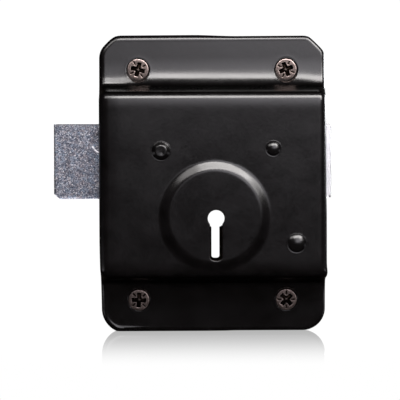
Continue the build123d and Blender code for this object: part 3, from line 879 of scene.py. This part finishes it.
def fixing_screw(name, replaced, place, turned_by):
    """Rings round the screw's axis whose radius varies by angle: the head from the middle of its
    recess outwards, where each ring has one depth but for the lines, then the stem on every third ray."""
    angle = np.arange(head_rays) * 2 * np.pi / head_rays
    floor = cross_outline(angle, floor_reach, floor_half)
    mouth = cross_outline(angle, cross_reach, cross_half)
    brow = mouth + 0.09
    rings = [(0.35 * floor, 1.28), (0.7 * floor, 1.4), (floor, recess_deep)]
    for part in (0.1, 0.4, 0.7, 1.0):
        rings.append((floor * (1 - part) + mouth * part, recess_deep * (1 - part) + 0.1 * part))
    rings += [(mouth + 0.03, 0.03), (brow, 0)]
    for part in np.linspace(0, 1, 12)[1:]:
        rings.append((brow * (1 - part) + 3.3 * part, 0.05 * part**4))
    rings += head_edge
    radii = np.array([np.broadcast_to(radius, head_rays) for radius, _ in rings])
    sunk = np.array([np.full(head_rays, fall) for _, fall in rings])
    from_line = radii * np.abs(np.sin((angle + np.pi / 2) % (np.pi / 2) - np.pi / 4))
    line = smooth((radii - line_start) / 0.3) * smooth((line_end - radii) / 0.25)
    line = np.where(radii > mouth + 0.05, line * np.clip(1.5 - from_line / line_half, 0, 1), 0)
    sunk = sunk + line_deep * line
    way = angle + math.radians(turned_by)
    head = around_axis(place, radii, head_front - sunk, way)
    under = np.array([(1.6, 0.35), (1.62, 0.2), (shank_radius, -0.4), (shank_radius, -3.0)])
    point_depth = np.linspace(point_start, screw_tip, 22)[1:-1]
    stem_depth = np.concatenate([np.linspace(thread_top, point_start, 64), point_depth])[:, None]
    stem_radius = np.concatenate([np.tile(under[:, :1], (1, stem_rays)), thread(angle[::3], stem_depth)])
    stem = around_axis(place, stem_radius, np.concatenate([under[:, 1:], stem_depth]), way[::3])
    middle, tip = [(place[0], head_front - 1.15, place[1])], [(place[0], screw_tip, place[1])]
    points = np.concatenate([middle, head.reshape(-1, 3), stem.reshape(-1, 3), tip])
    fine = 1 + np.arange(radii.size).reshape(-1, head_rays)
    coarse = 1 + fine.size + np.arange(stem_radius.size).reshape(-1, stem_rays)
    last, next_third = fine[-1], np.roll(fine[-1], -3)[::3]
    collar = np.stack([last[::3], coarse[0], np.roll(coarse[0], -1), next_third, last[2::3], last[1::3]], -1)
    faces = wound(fine) + wound(coarse) + collar.tolist() + closed(fine[0], coarse[-1], len(points) - 1)
    edge = np.zeros(len(points))
    edge[fine[7:10]] = 0.9
    edge[fine[-5:-1]] = 1.0
    screw = new_piece(name, points, faces, edge, 38)
    # painted shade: the cross recess and the scored lines are painted near black; the middle point is left
    # out, a small painted glint
    recess_shade = np.zeros(len(points))
    recess_shade[fine] = np.where(radii < mouth + 0.02, 1.0, line)
    recess_shade[fine[0]] = 0.8
    marked(screw.data, "painted_shade", recess_shade)
    screw.data.materials.append(bronzed)
    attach(screw, "case")
    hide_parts(replaced)


dark_bronze, darker_bronze, dusty_bronze = (0.125, 0.098, 0.088), (0.072, 0.056, 0.05), (0.3, 0.25, 0.235)
rubbed_bronze, recess_painted_shade = (0.36, 0.29, 0.27), (0.012, 0.008, 0.006)
bronzed, tree, shader = finish("bronzed_steel", (0.24, 0.19, 0.17), 1.0, 0.42)
cloudy = blotches(tree, 1.6)
fine_grain = blotches(tree, 0.35)
tone = two_tone(tree, cloudy, dark_bronze, darker_bronze)
tone = two_tone(tree, worked(tree, "MULTIPLY", fine_grain, 0.35), tone, dusty_bronze)
tone = two_tone(tree, worn_edges(tree, 0.9, 0.45), tone, rubbed_bronze)
# painted shade in the recess and along the scored lines
recess_shade_mask = eased_step(tree, stored(tree, "painted_shade"), 0.15, 0.85, 0.0, 1.0)
tree.links.new(two_tone(tree, recess_shade_mask, tone, recess_painted_shade), shader.inputs["Base Color"])
tree.links.new(worked(tree, "MULTIPLY_ADD", cloudy, 0.14, 0.36), shader.inputs["Roughness"])
relief(tree, shader, fine_grain, 0.000012)

left_at = {"lower_left": -3, "lower_right": 45, "upper_left": -15, "upper_right": 21}
for (where, turned_by), place in zip(left_at.items(), screw_places[2:] + screw_places[:2]):
    fixing_screw(f"crosshead_{where}", f"fixing_screw_{where}", place, turned_by)

# Bolt: one flat bar of steel through both ends of the case, sheared and ground on its front
# edges, with two slots for the posts and a notch for the key, and zinc plated. A shallow dimple
# is pressed in its face near the end, and the lower edge is ground wider than the others.
dimple_middle, dimple_sides = Vector((-0.0381, -0.0075, 0.0248)), 64
dimple_radius, dimple_floor, dimple_deep = 0.00338, 0.0029, 0.00024
band_rise, band_out = 0.00045, 0.00068
shear_point, shear_out = Vector((-0.054, 0.0, 0.0079)), Vector((-0.66, 0.0, -0.75))


def softened(node, name, width, reshape=None, sharp=28.0, shading=35.0):
    """Copy of a solid with every sharp edge rounded to a width in millimetres.

    Reshape may first move or cut the copy. The attribute edge is one on the rounding."""
    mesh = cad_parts[node].data.copy()
    mesh.name = name
    work = bmesh.new()
    work.from_mesh(mesh)
    bmesh.ops.remove_doubles(work, verts=work.verts, dist=1e-6)
    bmesh.ops.dissolve_limit(work, angle_limit=math.radians(0.8), verts=work.verts, edges=work.edges)
    rounding = work.loops.layers.float.new("edge")
    if reshape:
        reshape(work)
    crisp = [e for e in work.edges if len(e.link_faces) == 2 and e.calc_face_angle() > math.radians(sharp)]
    made = bmesh.ops.bevel(
        work, geom=crisp, offset=width * 0.001, offset_type="OFFSET", segments=3, profile=0.5,
        affect="EDGES", clamp_overlap=True,
    )
    for face in made["faces"]:
        for face_corner in face.loops:
            face_corner[rounding] = 1.0
    work.to_mesh(mesh)
    work.free()
    mesh.materials.clear()
    piece = shaded(name, mesh, shading)
    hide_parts(node)
    return piece


def ground_edges(work):
    """The front's lower edge becomes a low upturned band, the lower corner is sheared off, and the
    dimple gets a narrow slanting rim round a flat bottom. The rim's lower half is marked as edge, which
    paints a highlight crescent on it."""
    near = [face for face in work.faces if (face.calc_center_median() - dimple_middle).length < 0.0036]
    pressed = [face for face in near if face.normal.y < -0.5]
    bottom = bmesh.ops.dissolve_faces(work, faces=pressed)["region"][0]
    border = list(bottom.edges)
    for point in bottom.verts:
        point.co.y = dimple_middle.y
    work.faces.remove(bottom)
    turns = [2 * math.pi * step / dimple_sides for step in range(dimple_sides)]
    upper, lower = (
        [work.verts.new(dimple_middle + Vector((out * math.cos(t), sunk, out * math.sin(t)))) for t in turns]
        for out, sunk in ((dimple_radius, 0.0), (dimple_floor, dimple_deep))
    )
    border += [work.edges.new((upper[number - 1], upper[number])) for number in range(dimple_sides)]
    rounding = work.loops.layers.float["edge"]
    # painted highlight: the lower half of the dimple's slope, which faces up, is marked as edge and so
    # painted pale
    for number, turn in enumerate(turns):
        slope = work.faces.new((upper[number - 1], upper[number], lower[number], lower[number - 1]))
        for face_corner in slope.loops:
            face_corner[rounding] = min(max(-3.0 * math.sin(turn) - 0.3, 0.0), 1.0)
    work.faces.new(lower)
    flat = bmesh.ops.triangle_fill(work, edges=border, use_beauty=True, normal=(0, -1, 0))
    filled_in = [part for part in flat["geom"] if isinstance(part, bmesh.types.BMFace)]
    bmesh.ops.reverse_faces(work, faces=[face for face in filled_in if face.normal.y > 0])
    # the front's lower edge goes up, and the edge below it comes forward, past the front
    for point in work.verts:
        depth, z = -point.co.y * 1000, point.co.z * 1000
        if depth > 7.4 and z < 6.9:
            point.co.z += band_rise
        elif depth > 6.9 and z < 6.3:
            point.co.y -= band_out
    everything = work.verts[:] + work.edges[:] + work.faces[:]
    shear = {"plane_co": shear_point, "plane_no": shear_out, "clear_outer": True}
    cut = bmesh.ops.bisect_plane(work, geom=everything, **shear)
    loop_edges = [part for part in cut["geom_cut"] if isinstance(part, bmesh.types.BMEdge)]
    bmesh.ops.holes_fill(work, edges=loop_edges, sides=0)


bolt = softened("bolt", "bolt_bar", 0.34, ground_edges, shading=14)
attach(bolt, "bolt")

# spangle: irregular small crystals, each with its own random shade
spangle, given, result = effect("spangle", {"Size": 0.4}, ["Shade", "Fine"])
scaled = sized_place(spangle, given["Size"])
bent = tree_node(spangle, "ShaderNodeTexNoise", Scale=0.9, Detail=2.0)
spangle.links.new(scaled, bent.inputs["Vector"])
bending = (1.6, 1.6, 1.6)
shifted = worked(spangle, "MULTIPLY_ADD", bent.outputs["Color"], bending, scaled, kind=vector_math)
for scale, key in ((1.0, "Shade"), (1.9, "Fine")):
    crystal = tree_node(spangle, "ShaderNodeTexVoronoi", Scale=scale, Randomness=1.0)
    spangle.links.new(shifted, crystal.inputs["Vector"])
    shade = linked(spangle, "ShaderNodeSeparateColor", crystal.outputs["Color"])[0]
    spangle.links.new(shade, result[key])


def tinted(colour, *tint):
    """A colour times a tint, channel by channel."""
    return tuple(value * share for value, share in zip(colour, tint))


def plated(name, roughness, dark, light, spark, crystal, lighter_from):
    """Zinc plate: crystals between two shades with a few sparks, worn pale on the edges, and painted
    near-white past a place along X. On the bolt the edge mask also paints a highlight in its dimple."""
    made, tree, shader = finish(name, light, 1.0, roughness)
    cells = placed(tree, spangle, Size=crystal)
    mixed = worked(tree, "MULTIPLY_ADD", cells["Shade"], 0.55, worked(tree, "MULTIPLY", cells["Fine"], 0.45))
    shady = two_tone(tree, cells["Fine"], tinted(dark, 0.85, 0.97, 1.2), tinted(dark, 1.3, 1.08, 0.95))
    hue = blotches(tree, 1.0, low=0.35, high=0.65)
    pale = two_tone(tree, hue, tinted(light, 0.84, 0.98, 1.06), tinted(light, 1.06, 0.93, 0.86))
    tone = two_tone(tree, eased_step(tree, mixed, 0.2, 0.8, 0.0, 1.0), shady, pale)
    smoky = worked(tree, "MULTIPLY", blotches(tree, 4.0), 0.3)
    tone = two_tone(tree, smoky, tone, tinted(dark, 0.8, 0.8, 0.8))
    tone = two_tone(tree, eased_step(tree, mixed, 0.78, 0.92, 0.0, 1.0), tone, spark)
    # the part past a place along X is painted near-white
    along = coordinates(tree, "Object")["X"]
    tone = two_tone(tree, eased_step(tree, along, lighter_from, lighter_from + 0.001, 0.0, 0.85), tone, spark)
    # edge wear, which on the bolt also holds the painted highlight in its dimple
    worn = worn_edges(tree, 0.9, 0.5)
    tree.links.new(two_tone(tree, worn, tone, spark), shader.inputs["Base Color"])
    streak = blotches(tree, 0.25, 22.0)
    uneven = worked(tree, "MULTIPLY_ADD", cells["Fine"], 0.2, roughness - 0.14)
    uneven = worked(tree, "MULTIPLY_ADD", streak, 0.1, uneven)
    tree.links.new(worked(tree, "MULTIPLY_ADD", worn, 0.35, uneven), shader.inputs["Roughness"])
    relief(tree, shader, worked(tree, "MULTIPLY_ADD", streak, 0.2, mixed), 0.00002)
    return made


blue_shade, bright_zinc, spark = (0.075, 0.085, 0.11), (0.43, 0.45, 0.52), (0.98, 0.98, 1.0)
bolt_zinc = plated("bolt_zinc", 0.4, blue_shade, bright_zinc, spark, 0.34, 0.0365)
bolt.data.materials.append(bolt_zinc)

# Bolt stump: a short square post of bare steel, pressed into the front of the bolt. It runs in
# the levers' pockets and passes their gates when the bolt moves.
stump = softened("bolt_stump", "stump_post", 0.15)
stump.data.materials.append(bare_steel)
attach(stump, "bolt")

# Back plate: a flat zinc plated sheet inside the rim, held by the clenched ends of the posts.
# Its inner side is painted near black in blotches, painted shade inside the closed case. No part of it is
# painted near-white, so that place lies past its end.
grey_shade, dull_zinc, dull_spark, past_end = (0.2, 0.21, 0.24), (0.4, 0.41, 0.44), (0.7, 0.7, 0.72), 1.0
light_inner_shade, dark_inner_shade = (0.03, 0.022, 0.015), (0.006, 0.004, 0.003)
back = softened("back_plate", "back_sheet", 0.12)
plate_zinc = plated("plate_zinc", 0.46, grey_shade, dull_zinc, dull_spark, 0.6, past_end)
tree = plate_zinc.node_tree
shader = tree.nodes["Principled BSDF"]
zinc_tone = shader.inputs["Base Color"].links[0].from_socket
# painted shade on the side that faces into the closed case
inward = eased_step(tree, coordinates(tree, "Object")["Y"], -0.00115, -0.00095, 1.0, 0.0)
inner_shade = two_tone(tree, blotches(tree, 3.0, 2.0), dark_inner_shade, light_inner_shade)
tree.links.new(two_tone(tree, inward, zinc_tone, inner_shade), shader.inputs["Base Color"])
back.data.materials.append(plate_zinc)
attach(back, "case")

# Levers: three blanked brass plates on the upper right post, each with its own pocket and belly.
# Their edges are deburred, and rolling has left fine lines along them.
lever_count = 3
clear_brass, tarnished, bright_line = (0.64, 0.44, 0.17), (0.4, 0.25, 0.1), (0.75, 0.56, 0.26)
deburred_brass = (0.82, 0.64, 0.34)
brass, tree, shader = finish("lever_brass", (0.62, 0.42, 0.16), 1.0, 0.34)
rolled = blotches(tree, 0.3, 30.0)
tone = two_tone(tree, blotches(tree, 7.0, low=0.4, high=0.75), clear_brass, tarnished)
tone = two_tone(tree, worked(tree, "MULTIPLY", rolled, 0.25), tone, bright_line)
tone = two_tone(tree, worn_edges(tree, 0.8, 0.6), tone, deburred_brass)
tree.links.new(tone, shader.inputs["Base Color"])
tree.links.new(worked(tree, "MULTIPLY_ADD", rolled, 0.18, 0.24), shader.inputs["Roughness"])
relief(tree, shader, rolled, 0.000005)
for number in range(1, lever_count + 1):
    leaf = softened(f"lever_{number}", f"lever_leaf_{number}", 0.14)
    leaf.data.materials.append(brass)
    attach(leaf, f"lever_{number}")

# Lever springs: one bent strip of hardened steel pinned to the top of each lever, blued by heat.
# The free end lies a little low, which leaves it room to rise under the bend of the case.
tip_drop = 0.0015
blue_heat, straw_heat, ground_strip = (0.1, 0.12, 0.2), (0.2, 0.16, 0.14), (0.42, 0.42, 0.44)
blued, tree, shader = finish("blued_spring", (0.14, 0.15, 0.2), 1.0, 0.3)
fine_grain = blotches(tree, 0.3)
tone = two_tone(tree, blotches(tree, 5.0, 1.5), blue_heat, straw_heat)
tone = two_tone(tree, worn_edges(tree, 0.5, 0.4), tone, ground_strip)
tree.links.new(tone, shader.inputs["Base Color"])
tree.links.new(worked(tree, "MULTIPLY_ADD", fine_grain, 0.15, 0.22), shader.inputs["Roughness"])
relief(tree, shader, fine_grain, 0.000003)


def lowered_tip(work):
    """Each point of a strip sinks with the square of its height, by the whole drop at the top."""
    heights = [point.co.z for point in work.verts]
    low, high = min(heights), max(heights)
    for point in work.verts:
        point.co.z -= tip_drop * ((point.co.z - low) / (high - low)) ** 2


for number in range(1, lever_count + 1):
    strip = softened(f"lever_spring_{number}", f"leaf_spring_{number}", 0.06, lowered_tip)
    strip.data.materials.append(blued)
    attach(strip, f"lever_{number}")

# Pivot washers: a thin ring of bare steel on the upper right post behind each lever. It keeps
# the levers apart, and the first one clear of the bolt.
for number in range(1, lever_count + 1):
    ring = softened(f"pivot_washer_{number}", f"spacer_ring_{number}", 0.08)
    ring.data.materials.append(bare_steel)
    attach(ring, "case")
